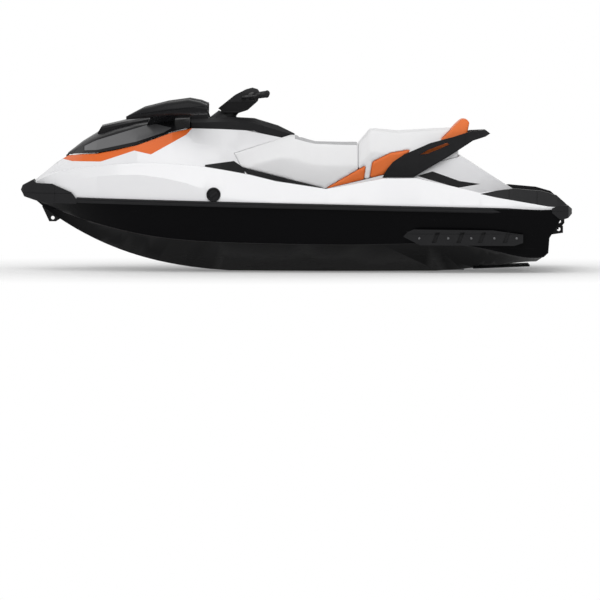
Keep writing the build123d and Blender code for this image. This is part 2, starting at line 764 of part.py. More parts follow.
# Rub rail and bumpers
slab = skin([section(row[0], rail_half(row[0], row[5])) for row in HULL], smooth=True)
core_rows = [(row[0], max(row[5] - RAIL_DEPTH, 4)) for row in HULL]
core = skin([section(x, [(y, 0), (y, FAR)]) for x, y in core_rows], smooth=True)
rail_reach = box(RAIL_BACK_X, RAIL_FRONT_X, 0, FAR, 0, FAR)
rail = (slab & rail_reach) - core - hull - deck - nodes["gunwale_pads"]
nodes["rub_rail"] = pair(largest(rail))
bow_bumper = side_prism(BOW_BUMPER) & plan_prism(both_sides(BOW_BUMPER_PLAN))
nodes["bow_bumper"] = bow_bumper - hull - deck - nodes["hood_trim"]
stern_bumper = side_prism(STERN_BUMPER) & plan_prism(both_sides(STERN_BUMPER_PLAN))
stern_bumper = stern_bumper - hull - deck - nodes["gunwale_pads"] - Compound(nodes["rub_rail"])
nodes["stern_bumper"] = stern_bumper - box(-1640, -1400, -520, 520, 0, FAR)

# Hood, mirrors and hinge
lid_form = hood_form()
knuckle = rod((HINGE_X, -HINGE_HALF, HINGE_Z), (HINGE_X, HINGE_HALF, HINGE_Z), HINGE_KNUCKLE_R)
leaf_z = HINGE_Z + HINGE_KNUCKLE_R
knuckle += box(HINGE_X - 30, HINGE_X, 6 - HINGE_HALF, HINGE_HALF - 6, leaf_z - 1, leaf_z + 5)
pin_hole = rod((HINGE_X, -FAR, HINGE_Z), (HINGE_X, FAR, HINGE_Z), HINGE_PIN_R + RUN_GAP)
hood = lid_form - hood_hollow() - nose_space(HOOD_GAP + 1) + knuckle - pin_hole
panel_cut = side_prism(GREY_PANEL) & flank_space(60, FAR)
nodes["hood_sides"] = hood & panel_cut
nodes["hood"] = hood - panel_cut
pin = rod((HINGE_X, -1.5 * HINGE_HALF, HINGE_Z), (HINGE_X, 1.5 * HINGE_HALF, HINGE_Z), HINGE_PIN_R)
ear = box(
    HINGE_X - HINGE_KNUCKLE_R,
    HINGE_X + HINGE_KNUCKLE_R,
    HINGE_HALF + 1,
    1.55 * HINGE_HALF,
    HINGE_Z - 1.5 * HINGE_KNUCKLE_R,
    HINGE_Z + HINGE_PIN_R + 1,
)
nodes["hood_hinge"] = pin + ear + across(ear)
pod = skin([ring(*row) for row in MIRROR])
arm = skin(
    [Wire.make_polygon([Vector(x, y, z) for x, z in outline], close=True)
     for y, outline in MIRROR_ARM]
)
tail_x, tail_y, tail_z, tail_w, tail_h = MIRROR[-1]
glass_rows = [
    (tail_x - step, tail_y, tail_z, tail_w - GLASS_RIM, tail_h - GLASS_RIM)
    for step in (0, GLASS_THICK)
]
nodes["mirror_housings"] = pair(largest((pod + arm) - lid_form))
nodes["mirror_glass"] = pair(skin([ring(*row) for row in glass_rows]))

# Console, gauge pod and glove box lid
console_skin = skin([section(x, [(hy, lz), (hy, sz), (ty, tz)]) for x, hy, lz, sz, ty, tz in CONSOLE])
console_form = (console_skin & nose_space(0)) + collar_form()
lid_space = side_prism(GLOVE_LID) & plan_prism(both_sides(GLOVE_LID_PLAN))
room_plan = [(x, y + LID_GAP) for x, y in GLOVE_LID_PLAN]
room_plan[0] = (room_plan[0][0] + LID_GAP, room_plan[0][1])
room_plan[-1] = (room_plan[-1][0] - LID_GAP, room_plan[-1][1])
lid_room = side_prism(grown(GLOVE_LID, LID_GAP)) & plan_prism(both_sides(room_plan))
lid_pin = rod((GLOVE_X, -LID_PIN_HALF, GLOVE_Z), (GLOVE_X, LID_PIN_HALF, GLOVE_Z), LID_PIN_R)
bore_half = LID_PIN_HALF + RUN_GAP
lid_bore = rod((GLOVE_X, -bore_half, GLOVE_Z), (GLOVE_X, bore_half, GLOVE_Z), LID_PIN_R + RUN_GAP)
stem_bore = rod(steer_point(STEM_FOOT - RUN_GAP), steer_point(STEM_LENGTH), BOOT_R + RUN_GAP)
console = console_form - deck - nodes["hood_trim"] - saddle - glove_space - lid_room - lid_bore - stem_bore
nodes["console"] = largest(console)
nodes["glove_lid"] = (console_form & lid_space) + lid_pin
gauge = (side_prism(GAUGE_POD, -GAUGE_HALF, GAUGE_HALF) & nose_space(0)) - console_form
nodes["gauge_pod"] = largest(gauge)
screen = side_prism(SCREEN, -SCREEN_HALF, SCREEN_HALF)
nodes["gauge_screen"] = largest(screen - console_form - gauge)

# Steering head
stem = rod(steer_point(STEM_FOOT), steer_point(STEM_LENGTH), STEM_R)
stem += rod(steer_point(STEM_FOOT), steer_point(BOOT_TOP), BOOT_R)
bar = rod(bar_point(-BAR_BEND_Y), bar_point(BAR_BEND_Y), BAR_R)
for side in (-1, 1):
    bar += rod(bar_point(side * BAR_BEND_Y), bar_point(side * BAR_END_Y), BAR_R)
    bar += Solid.make_sphere(BAR_R, Plane(bar_point(side * BAR_BEND_Y)))
cover = side_prism(STEERING_COVER) & front_prism(COVER_FRONT)
nodes["steering_stem"] = stem - bar
nodes["handlebar"] = bar
nodes["steering_cover"] = largest(cover - stem - bar)
grip_y = BAR_END_Y - GRIP_LENGTH
grip = rod(bar_point(grip_y), bar_point(BAR_END_Y + GRIP_CAP), GRIP_R) - bar
nodes["grips"] = pair(grip)
pod_in, pod_out = bar_point(grip_y - POD_GAP - POD_LENGTH), bar_point(grip_y - POD_GAP)
control = rod(pod_in, pod_out, POD_R) - bar
pod_x, pod_y, pod_z = bar_point(grip_y - POD_GAP - POD_LENGTH / 2)
lever_root = (pod_x + LEVER_REACH, pod_y, pod_z - LEVER_DROP)
tip_x, tip_y, tip_z = bar_point(BAR_END_Y - LEVER_SHORT)
lever_tip = (tip_x + LEVER_REACH, tip_y, tip_z - LEVER_DROP)
control += rod((pod_x, pod_y, pod_z), lever_root, LEVER_R + 2) - rod(pod_in, pod_out, POD_R - 1)
control += rod(lever_root, lever_tip, LEVER_R) + Solid.make_sphere(LEVER_R + 2, Plane(lever_root))
nodes["controls"] = pair(largest(control))

# Sponsons, mats, cap and eyes
sponson = side_prism(SPONSON, SPONSON_PLAN[0][1], FAR) & plan_prism(SPONSON_PLAN)
for slot_x in SPONSON_SLOTS_X:
    sponson -= side_prism([(slot_x + x, z) for x, z in SPONSON_SLOT], SPONSON_SLOT_Y, FAR)
nodes["sponsons"] = pair(largest(sponson - hull))
mat_plan = cockpit_plan(-MAT_MARGIN)
foot_room = box(
    FOOTWELL_BACK_X + MAT_MARGIN, FOOTWELL_FRONT_X - MAT_MARGIN, PEDESTAL_HALF + MAT_MARGIN, FAR, 0, FAR
)
foot_mat = plan_prism(mat_plan, FLOOR_Z, FLOOR_Z + MAT_THICK) & foot_room
nodes["footwell_mats"] = pair(largest(foot_mat - deck))
platform_room = box(PLATFORM_BACK_X, PLATFORM_FRONT_X - MAT_MARGIN, -FAR, FAR, 0, FAR)
platform_mat = plan_prism(mat_plan, PLATFORM_Z, PLATFORM_Z + MAT_THICK) & platform_room
nodes["platform_mat"] = largest(platform_mat - deck)
cap = rod((CAP_X, 500, CAP_Z), (CAP_X, CAP_STEPS[0][1], CAP_Z), CAP_STEPS[0][0])
cap += rod((CAP_X, 500, CAP_Z), (CAP_X, CAP_STEPS[1][1], CAP_Z), CAP_STEPS[1][0])
nodes["fuel_cap"] = largest(cap - deck - Compound(nodes["rub_rail"]))
nodes["bow_eye"] = largest(eye(*BOW_EYE, BOW_LUG) - hull - nodes["bow_bumper"])
nodes["stern_eyes"] = pair(largest(eye(*STERN_EYE, STERN_LUG, STERN_EYE_Y) - hull - nodes["stern_bumper"]))
nodes["tow_eye"] = largest(eye(*TOW_EYE, TOW_LUG) - hull - nodes["stern_bumper"])

# Engine, storage bin, shaft and impeller
nodes["engine_block"] = engine_bay()
nodes["storage_bin"] = bin_outer - bin_inner
shaft_end_x = STATOR_X - 30
shaft = rod((ENGINE_BACK_X - RUN_GAP, 0, PUMP_Z), (shaft_end_x + RUN_GAP, 0, PUMP_Z), SHAFT_R)
nodes["drive_shaft"] = shaft
hub = turned(
    [
        (IMPELLER_FRONT_X, 0),
        (IMPELLER_FRONT_X - 20, 26),
        (IMPELLER_FRONT_X - 60, STATOR_HUB_R - 1),
        (IMPELLER_BACK_X, STATOR_HUB_R - 1),
        (IMPELLER_BACK_X, 0),
    ]
)
blade_x = (IMPELLER_FRONT_X + IMPELLER_BACK_X) / 2
tip_r = PUMP_BORE_R - TIP_GAP
front_x, back_x = IMPELLER_FRONT_X - 4, IMPELLER_BACK_X + 4
sweep_room = turned([(front_x, BLADE_ROOT_R), (front_x, tip_r), (back_x, tip_r), (back_x, BLADE_ROOT_R)])
half_thick = BLADE_THICK / 2
blade = box(blade_x - 90, blade_x + 90, -half_thick, half_thick, PUMP_Z + BLADE_ROOT_R, PUMP_Z + PUMP_BORE_R)
blade = blade.rotate(Axis((blade_x, 0, 0), (0, 0, 1)), BLADE_PITCH) & sweep_room
impeller = hub
for i in range(BLADES):
    impeller += blade.rotate(Axis((0, 0, PUMP_Z), (1, 0, 0)), 360 / BLADES * i)
nodes["impeller"] = impeller - shaft

# Jet pump: flanged casing, stator with its vanes, and the pins that the nozzle and the gate turn on
casing = turned(
    [
        (PUMP_FRONT_X, PUMP_BORE_R),
        (PUMP_FRONT_X, PUMP_R + FLANGE),
        (PUMP_FRONT_X - FLANGE_THICK, PUMP_R + FLANGE),
        (PUMP_FRONT_X - FLANGE_THICK, PUMP_R),
        (VENTURI_X, PUMP_R),
        (VENTURI_NECK_X, VENTURI_NECK_R),
        (VENTURI_END_X, VENTURI_END_R),
        (VENTURI_END_X, VENTURI_END_R - VENTURI_WALL),
        (VENTURI_NECK_X, VENTURI_NECK_R - VENTURI_WALL),
        (VENTURI_X, PUMP_BORE_R),
    ]
)
pump = casing + turned(
    [
        (STATOR_X, SHAFT_R + RUN_GAP),
        (STATOR_X, STATOR_HUB_R),
        (VENTURI_X, STATOR_HUB_R),
        (VENTURI_END_X + 10, 0),
        (shaft_end_x, 0),
        (shaft_end_x, SHAFT_R + RUN_GAP),
    ]
)
half_thick = VANE_THICK / 2
vane = box(VENTURI_X, STATOR_X, -half_thick, half_thick, PUMP_Z + STATOR_HUB_R - 3, PUMP_Z + PUMP_BORE_R + 3)
for i in range(STATOR_VANES):
    pump += vane.rotate(Axis((0, 0, PUMP_Z), (1, 0, 0)), 360 / STATOR_VANES * i)
gate_out_y = GATE_ARM_Y + GATE_WALL
for side in (-1, 1):
    low, high = side * (VENTURI_END_R - 6), side * (NOZZLE_FRONT_R + 3)
    pump += rod((NOZZLE_PIVOT_X, 0, PUMP_Z + low), (NOZZLE_PIVOT_X, 0, PUMP_Z + high), NOZZLE_PIN_R)
    low, high = side * (PUMP_R - 14), side * (gate_out_y + 4)
    pump += rod((GATE_PIVOT_X, low, PUMP_Z), (GATE_PIVOT_X, high, PUMP_Z), GATE_PIN_R)
nodes["pump_housing"] = pump

# Steering nozzle and reverse gate
nozzle = turned(
    [
        (NOZZLE_FRONT_X, NOZZLE_FRONT_R),
        (NOZZLE_BACK_X, NOZZLE_BACK_R),
        (NOZZLE_BACK_X, NOZZLE_BACK_R - NOZZLE_WALL),
        (NOZZLE_FRONT_X, NOZZLE_FRONT_R - NOZZLE_WALL),
    ]
)
nozzle -= rod((NOZZLE_PIVOT_X, 0, PUMP_Z - 100), (NOZZLE_PIVOT_X, 0, PUMP_Z + 100), NOZZLE_PIN_R + RUN_GAP)
nodes["steering_nozzle"] = nozzle
ring_out = rod((GATE_PIVOT_X, -gate_out_y, PUMP_Z), (GATE_PIVOT_X, gate_out_y, PUMP_Z), GATE_R + GATE_WALL)
ring_in = rod((GATE_PIVOT_X, -gate_out_y, PUMP_Z), (GATE_PIVOT_X, gate_out_y, PUMP_Z), GATE_R)
sector = side_prism([gate_point(0, 0), gate_point(400, GATE_FROM_DEG), gate_point(400, GATE_TO_DEG)])
cheek_rim = [gate_point(GATE_R + 4, deg) for deg in (GATE_FROM_DEG, 68, 90, GATE_TO_DEG)]
cheek = side_prism([gate_point(20, -100)] + cheek_rim + [gate_point(20, 190)], GATE_ARM_Y, gate_out_y)
gate = ((ring_out - ring_in) & sector) + cheek + across(cheek)
gate -= rod((GATE_PIVOT_X, -FAR, PUMP_Z), (GATE_PIVOT_X, FAR, PUMP_Z), GATE_PIN_R + RUN_GAP)
nodes["reverse_gate"] = gate

# Ride plate and intake grate under the stern
plate_half = TUNNEL_HALF - RUN_GAP
nodes["ride_plate"] = side_prism(RIDE_PLATE, -plate_half, plate_half)
grate = box(DUCT_MOUTH_BACK_X, DUCT_MOUTH_BACK_X + 16, -DUCT_HALF, DUCT_HALF, 2, 12)
for y in GRATE_BARS_Y:
    grate += box(DUCT_MOUTH_BACK_X + 8, DUCT_MOUTH_FRONT_X - 30, y - GRATE_HALF, y + GRATE_HALF, 2, 14)
nodes["intake_grate"] = largest(grate - hull)

for name, shape in nodes.items():
    solids = shape if isinstance(shape, list) else shape.solids()
    export_step(Compound(solids), f"parts/{name}.step")
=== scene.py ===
"""Studio scene of a three-seat personal watercraft: its finishes, and its soft and fine pieces."""

import json
from math import cos, exp, pi, radians, sin

import bmesh
import bpy
from mathutils import Matrix, Vector
from mathutils.bvhtree import BVHTree


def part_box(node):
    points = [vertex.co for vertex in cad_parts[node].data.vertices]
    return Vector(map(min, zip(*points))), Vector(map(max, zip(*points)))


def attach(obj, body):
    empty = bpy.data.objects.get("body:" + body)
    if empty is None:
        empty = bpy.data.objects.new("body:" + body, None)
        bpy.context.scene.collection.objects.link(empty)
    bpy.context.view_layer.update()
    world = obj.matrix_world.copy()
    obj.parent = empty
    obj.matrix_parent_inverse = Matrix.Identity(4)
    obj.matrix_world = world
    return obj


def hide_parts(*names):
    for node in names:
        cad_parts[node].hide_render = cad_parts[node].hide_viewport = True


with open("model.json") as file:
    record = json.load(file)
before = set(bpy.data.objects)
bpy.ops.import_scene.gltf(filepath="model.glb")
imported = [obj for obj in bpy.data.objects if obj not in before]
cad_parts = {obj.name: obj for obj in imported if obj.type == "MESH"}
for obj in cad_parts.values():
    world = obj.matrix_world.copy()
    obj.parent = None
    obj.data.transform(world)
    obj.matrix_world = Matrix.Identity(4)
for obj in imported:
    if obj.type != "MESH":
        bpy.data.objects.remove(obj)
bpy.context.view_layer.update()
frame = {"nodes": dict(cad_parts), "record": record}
NODES = frame["nodes"]

# Directions on the craft: to the bow, to port, up and down
ALONG = Vector((1, 0, 0))
ACROSS = Vector((0, 1, 0))
UP = Vector((0, 0, 1))
DOWN = Vector((0, 0, -1))

# The photograph: a side view from port, bow to the left
PHOTO_SIZE = 600
METRES_A_PIXEL = 0.006157
VIEW_DISTANCE = 40.0
VIEW_RISE = radians(2.5)
FRAME_MIDDLE = Vector((-0.031, 0.0, -0.185))

# CAD facets: the gap that still joins two corners, the turn that still counts as flat, and the turn
# that still shades as one curved skin
WELD = 0.00002
FLAT_ANGLE = radians(1.0)
SMOOTH_ANGLE = radians(32)
# How near to a cutting plane a corner counts as on it
CUT_REACH = 1e-6
# Cosine of the angle within which two directions count as one
SAME_WAY = 0.99
# Places well clear of the craft, to look for its surface from
CLEAR_ABOVE = 1.5
CLEAR_BESIDE = 2.0


def feed(plug, value):
    """Links a value to a shader socket, or sets the socket to a plain number or colour."""
    if isinstance(value, Value):
        value.tree.links.new(value.socket, plug)
    else:
        plug.default_value = value


class Value:
    """A shader socket that adds Math nodes when it meets an operator."""

    def __init__(self, tree, socket):
        self.tree = tree
        self.socket = socket

    def maths(self, operation, other):
        """A Math node that works on this value and another value or number."""
        made = self.tree.nodes.new("ShaderNodeMath")
        made.operation = operation
        feed(made.inputs[0], self)
        feed(made.inputs[1], other)
        return Value(self.tree, made.outputs[0])

    def __add__(self, other):
        return self.maths("ADD", other)

    def __mul__(self, other):
        return self.maths("MULTIPLY", other)


# Sockets of the colour mixing node, by place, because several share a name
MIX_FACTOR, MIX_FIRST, MIX_SECOND, MIX_RESULT = 0, 6, 7, 2
# Detail of the noise that shifts a colour
TONE_DETAIL = 4.0


class Finish:
    """A material made of nodes, with its Principled shader ready."""

    def __init__(self, name, colour, roughness, **sockets):
        self.material = bpy.data.materials.new(name)
        self.material.use_nodes = True
        self.material.diffuse_color = (*colour, 1.0)
        self.tree = self.material.node_tree
        self.shader = self.tree.nodes["Principled BSDF"]
        self.output = self.tree.nodes["Material Output"]
        self.set(Base_Color=(*colour, 1.0), Roughness=roughness, **sockets)

    def set(self, **sockets):
        """Feeds the shader's sockets, which are named with underscores for spaces."""
        for name, value in sockets.items():
            feed(self.shader.inputs[name.replace("_", " ")], value)
        return self

    def node(self, kind, plugs, settings=None, output=0):
        """Adds a node: its settings, then what goes into its sockets. Gives one of its outputs."""
        made = self.tree.nodes.new(kind)
        for name, value in (settings or {}).items():
            setattr(made, name, value)
        for plug, value in plugs.items():
            feed(made.inputs[plug], value)
        return Value(self.tree, made.outputs[output])

    def place(self):
        """Object coordinates, in metres."""
        return self.node("ShaderNodeTexCoord", {}, output="Object")

    def stretched(self, scale):
        """Object coordinates, multiplied along each axis."""
        return self.node("ShaderNodeMapping", {"Vector": self.place(), "Scale": scale})

    def noise(self, scale, detail=3.0, roughness=0.55, where=None):
        """Noise from 0 to 1."""
        plugs = {"Vector": where or self.place(), "Scale": scale, "Detail": detail, "Roughness": roughness}
        return self.node("ShaderNodeTexNoise", plugs)

    def cells(self, scale, feature):
        """Distance from the middle of the nearest cell of a grain."""
        plugs = {"Vector": self.place(), "Scale": scale}
        return self.node("ShaderNodeTexVoronoi", plugs, {"feature": feature})

    def ranged(self, value, start, end, low=0.0):
        """A value stretched so that it runs from low at the start to 1 at the end."""
        plugs = {"Value": value, "From Min": start, "From Max": end, "To Min": low}
        return self.node("ShaderNodeMapRange", plugs)

    def mix(self, factor, first, second):
        """Two colours mixed by a value."""
        plugs = {MIX_FACTOR: factor, MIX_FIRST: (*first, 1.0), MIX_SECOND: (*second, 1.0)}
        return self.node("ShaderNodeMix", plugs, {"data_type": "RGBA"}, MIX_RESULT)

    def mottle(self, colour, shade, scale):
        """Lets the colour drift to a second shade and back."""
        return self.set(Base_Color=self.mix(self.noise(scale, TONE_DETAIL), colour, shade))

    def uneven(self, roughness, spread, scale, detail=3.0):
        """A roughness that wanders by a spread about its middle."""
        return self.noise(scale, detail) * spread + (roughness - spread / 2)

    def bump(self, height, depth):
        """Raises the shading by a height from 0 to 1 times a depth in metres."""
        plugs = {"Height": height, "Distance": depth, "Strength": 1.0}
        return self.set(Normal=self.node("ShaderNodeBump", plugs))


# Kinds of finish: scales are in cells a metre and depths in metres. Drift is the scale of a change of
# tone, spread is the range of the roughness, and speckle is the scale of that range
COAT_DRIFT = 3.0
COAT_SPREAD = 0.06
COAT_SPECKLE = 40.0
PEEL = 260.0
PEEL_DETAIL = 2.0
PEEL_DEPTH = 0.00006
# Wear along the bottom: streaks and patches with the noise levels where they begin and are full, the
# heights where wear begins and is full, and the roughness that it adds
STREAK_STRETCH = (1.5, 70.0, 70.0)
STREAK_NOISE = (1.0, 5.0, 0.6)
STREAK_LEVELS = (0.56, 0.72)
PATCH_SCALE = 5.0
PATCH_LEVELS = (0.40, 0.62)
WEAR_HEIGHTS = (0.20, 0.02)
WEAR_ROUGHNESS = 0.4
PLASTIC_SPECULAR = 0.15
PLASTIC_DRIFT = 12.0
PLASTIC_SPREAD = 0.14
PLASTIC_SPECKLE = 60.0
# Moulded grain: shares of its cells and of the fuzz over them, and how much finer the fuzz is
GRAIN_CELLS = 0.7
GRAIN_FUZZ = 0.3
GRAIN_FUZZ_FINER = 2.5
METAL_SPREAD = 0.2
METAL_DETAIL = 5.0
METAL_GRAIN_FINER = 2.0
METAL_GRAIN_DEPTH = 0.0001
VINYL_ROUGHNESS = 0.5
VINYL_SPECULAR = 0.3
VINYL_SHEEN = 0.05
VINYL_SHEEN_ROUGHNESS = 0.5
VINYL_DRIFT = 9.0
VINYL_SPREAD = 0.12
VINYL_SPECKLE = 80.0
PEBBLES = 520.0
PEBBLE_DEPTH = 0.00018


def sprayed(name, colour, roughness, sockets):
    """A coat with faint orange-peel, and the uneven roughness that goes with it."""
    made = Finish(name, colour, roughness, **sockets)
    made.bump(made.noise(PEEL, PEEL_DETAIL), PEEL_DEPTH)
    return made, made.uneven(roughness, COAT_SPREAD, COAT_SPECKLE)


def gelcoat(name, colour, shade, roughness, **sockets):
    """Sprayed gloss coat with a slow drift of tone."""
    made, gloss = sprayed(name, colour, roughness, sockets)
    return made.mottle(colour, shade, COAT_DRIFT).set(Roughness=gloss)


def beached_gelcoat(name, colour, scuff, roughness, **sockets):
    """Gloss coat rubbed dull along its bottom, with streaks that run fore and aft."""
    made, gloss = sprayed(name, colour, roughness, sockets)
    streaks = made.noise(*STREAK_NOISE, made.stretched(STREAK_STRETCH))
    height = made.node("ShaderNodeSeparateXYZ", {"Vector": made.place()}, output="Z")
    wear = made.ranged(streaks, *STREAK_LEVELS) * made.ranged(height, *WEAR_HEIGHTS)
    wear = wear * made.ranged(made.noise(PATCH_SCALE), *PATCH_LEVELS)
    return made.set(Base_Color=made.mix(wear, colour, scuff), Roughness=wear * WEAR_ROUGHNESS + gloss)


def grained(name, colour, shade, roughness, grain, depth):
    """Moulded plastic or rubber with a leathery grain."""
    made = Finish(name, colour, roughness, Specular_IOR_Level=PLASTIC_SPECULAR)
    made.mottle(colour, shade, PLASTIC_DRIFT)
    made.set(Roughness=made.uneven(roughness, PLASTIC_SPREAD, PLASTIC_SPECKLE))
    fuzz = made.noise(grain * GRAIN_FUZZ_FINER) * GRAIN_FUZZ
    return made.bump(made.cells(grain, "F1") * GRAIN_CELLS + fuzz, depth)


def brushed(name, colour, roughness, grain):
    """Metal with a fine grain."""
    made = Finish(name, colour, roughness, Metallic=1.0)
    made.set(Roughness=made.uneven(roughness, METAL_SPREAD, grain, METAL_DETAIL))
    return made.bump(made.noise(grain * METAL_GRAIN_FINER), METAL_GRAIN_DEPTH)


def vinyl(name, colour, shade):
    """Marine vinyl: fine pebbled grain and a soft sheen."""
    made = Finish(
        name, colour, VINYL_ROUGHNESS, Specular_IOR_Level=VINYL_SPECULAR,
        Sheen_Weight=VINYL_SHEEN, Sheen_Roughness=VINYL_SHEEN_ROUGHNESS,
    )
    made.mottle(colour, shade, VINYL_DRIFT)
    made.set(Roughness=made.uneven(VINYL_ROUGHNESS, VINYL_SPREAD, VINYL_SPECKLE))
    return made.bump(made.cells(PEBBLES, "SMOOTH_F1"), PEBBLE_DEPTH)


# Finishes by slot: name, colour, second shade or scuffed colour, roughness, then grain and its depth
FINISHES = {
    "hull_black": beached_gelcoat(
        "hull_gelcoat", (0.004, 0.004, 0.0045), (0.025, 0.025, 0.026), 0.24, Specular_IOR_Level=0.03
    ),
    "deck_white": gelcoat(
        "deck_gelcoat", (0.86, 0.86, 0.87), (0.80, 0.80, 0.82), 0.2, Coat_Weight=0.3, Coat_Roughness=0.06
    ),
    "accent_orange": gelcoat(
        "orange_gelcoat", (0.80, 0.15, 0.02), (0.70, 0.125, 0.016), 0.3, Specular_IOR_Level=0.25
    ),
    "hood_black": gelcoat(
        "hood_coat", (0.008, 0.008, 0.009), (0.012, 0.012, 0.013), 0.28, Specular_IOR_Level=0.1
    ),
    "panel_grey": gelcoat(
        "grey_panel_coat", (0.105, 0.105, 0.108), (0.09, 0.09, 0.093), 0.3, Coat_Weight=0.15
    ),
    "gauge_glass": gelcoat(
        "gauge_lens", (0.02, 0.024, 0.028), (0.03, 0.034, 0.04), 0.08, Coat_Weight=0.6
    ),
    "trim_black": grained(
        "grained_trim", (0.009, 0.009, 0.010), (0.014, 0.014, 0.015), 0.48, 420.0, 0.00022
    ),
    "rubber_black": grained(
        "bumper_rubber", (0.010, 0.010, 0.011), (0.016, 0.016, 0.017), 0.58, 240.0, 0.0002
    ),
    "mat_rubber": grained(
        "mat_foam", (0.014, 0.014, 0.015), (0.024, 0.024, 0.026), 0.8, 300.0, 0.0004
    ),
    "seat_white": vinyl("white_vinyl", (0.87, 0.87, 0.875), (0.83, 0.83, 0.84)),
    # Grey painted shade for the saddle's top
    "seat_grey": vinyl("painted_shade_vinyl", (0.47, 0.47, 0.48), (0.43, 0.43, 0.44)),
    "seat_orange": vinyl("orange_vinyl", (0.84, 0.19, 0.035), (0.74, 0.15, 0.025)),
    "cast_metal": brushed("cast_aluminium", (0.31, 0.315, 0.32), 0.42, 160.0),
    "steel": brushed("polished_steel", (0.62, 0.62, 0.63), 0.24, 300.0),
    "bolt_steel": brushed("bolt_steel", (0.16, 0.16, 0.165), 0.45, 300.0),
    "mirror_glass": brushed("mirror_glass", (0.50, 0.53, 0.57), 0.06, 20.0),
    "engine_metal": brushed("engine_casting", (0.24, 0.24, 0.25), 0.5, 120.0),
}


def smooth_skin():
    """Modifier that shades faces smooth and keeps real edges sharp."""
    group = bpy.data.node_groups.new("smooth_skin", "GeometryNodeTree")
    group.interface.new_socket("Geometry", in_out="INPUT", socket_type="NodeSocketGeometry")
    group.interface.new_socket("Geometry", in_out="OUTPUT", socket_type="NodeSocketGeometry")
    new, link = group.nodes.new, group.links.new
    start, end = new("NodeGroupInput"), new("NodeGroupOutput")
    faces = new("GeometryNodeSetShadeSmooth")
    edges = new("GeometryNodeSetShadeSmooth")
    edges.domain = "EDGE"
    edges.inputs["Shade Smooth"].default_value = False
    angle = new("GeometryNodeInputMeshEdgeAngle")
    sharp = new("FunctionNodeCompare")
    sharp.operation = "GREATER_THAN"
    sharp.inputs[1].default_value = SMOOTH_ANGLE
    link(start.outputs[0], faces.inputs["Geometry"])
    link(faces.outputs[0], edges.inputs["Geometry"])
    link(angle.outputs["Unsigned Angle"], sharp.inputs[0])
    link(sharp.outputs[0], edges.inputs["Selection"])
    link(edges.outputs[0], end.inputs[0])
    return group


SKIN = smooth_skin()

# Widths of the rounded edges on CAD nodes, in metres. The others have the plain one
EDGE_SEGMENTS = 2
PLAIN_EDGE = 0.0012
EDGES = {
    "hull": 0.004,
    "deck": 0.005,
    "bow_bumper": 0.006,
    "stern_bumper": 0.006,
    "grab_handle": 0.007,
    "steering_cover": 0.006,
    "gauge_pod": 0.005,
    "sponsons": 0.004,
    "console": 0.004,
    "glove_lid": 0.003,
    "hood": 0.003,
    "gunwale_pads": 0.004,
    "engine_block": 0.02,
    "reverse_gate": 0.002,
    "ride_plate": 0.003,
}
# Metal that is coated black
COATED = {"handlebar": "trim_black", "hood_hinge": "trim_black"}


def rounded(piece, width):
    """Rounds the real edges of a piece and evens out the shading of its faces."""
    edge = piece.modifiers.new("edge", "BEVEL")
    edge.width = width
    edge.segments = EDGE_SEGMENTS
    edge.limit_method = "ANGLE"
    edge.angle_limit = SMOOTH_ANGLE
    piece.modifiers.new("skin", "NODES").node_group = SKIN
    piece.modifiers.new("even", "WEIGHTED_NORMAL").keep_sharp = True


def dress_frame():
    """Gives every CAD node its finish, rounded edges and a smooth skin."""
    for part in frame["record"]["subparts"]:
        node = NODES[part["node"]]
        node.data.materials.clear()
        finish = COATED.get(part["node"], part["material_slot"])
        node.data.materials.append(FINISHES[finish].material)
        node.modifiers.new("weld", "WELD").merge_threshold = WELD
        flat = node.modifiers.new("flat", "DECIMATE")
        flat.decimate_type = "DISSOLVE"
        flat.angle_limit = FLAT_ANGLE
        rounded(node, EDGES.get(part["node"], PLAIN_EDGE))


def merged(name):
    """A bmesh of a CAD node, with its loose facets joined."""
    form = bmesh.new()
    form.from_mesh(NODES[name].data)
    bmesh.ops.remove_doubles(form, verts=form.verts, dist=WELD)
    return form


def flattened(name, angle=FLAT_ANGLE):
    """A bmesh of a CAD node, with the facets of each flat face joined into one."""
    form = merged(name)
    bmesh.ops.dissolve_limit(form, angle_limit=angle, verts=form.verts, edges=form.edges)
    return form


def cut(form, point, normal):
    """Cuts a whole form along a plane, and gives what lies on the cut."""
    whole = form.verts[:] + form.edges[:] + form.faces[:]
    made = bmesh.ops.bisect_plane(form, geom=whole, dist=CUT_REACH, plane_co=point, plane_no=normal)
    return made["geom_cut"]


def bevelled(form, edges, width, segments=EDGE_SEGMENTS):
    """Rounds some edges of a form."""
    return bmesh.ops.bevel(
        form, geom=edges, offset=width, segments=segments, profile=0.5, affect="EDGES", material=-1
    )


def inset(form, faces, margin, slope, rise):
    """Sets faces in by a margin, then raises or sinks them over a slope."""
    bmesh.ops.inset_individual(form, faces=faces, thickness=margin, depth=0.0)
    bmesh.ops.inset_individual(form, faces=faces, thickness=slope, depth=rise)


def grow(form, faces, move, keep=False):
    """Copies faces, moves the copies and builds walls round them."""
    grown = bmesh.ops.extrude_face_region(form, geom=faces, use_keep_orig=keep)["geom"]
    verts = [v for v in grown if isinstance(v, bmesh.types.BMVert)]
    bmesh.ops.translate(form, verts=verts, vec=move)


def face_outwards(form):
    """Turns every face of a form to its outside."""
    bmesh.ops.recalc_face_normals(form, faces=form.faces)


def meshed(form, name):
    """A mesh with the shape of a bmesh, which is used up."""
    mesh = bpy.data.meshes.new(name)
    form.to_mesh(mesh)
    form.free()
    return mesh


def placed(name, data):
    """A new object in the scene."""
    made = bpy.data.objects.new(name, data)
    bpy.context.scene.collection.objects.link(made)
    return made


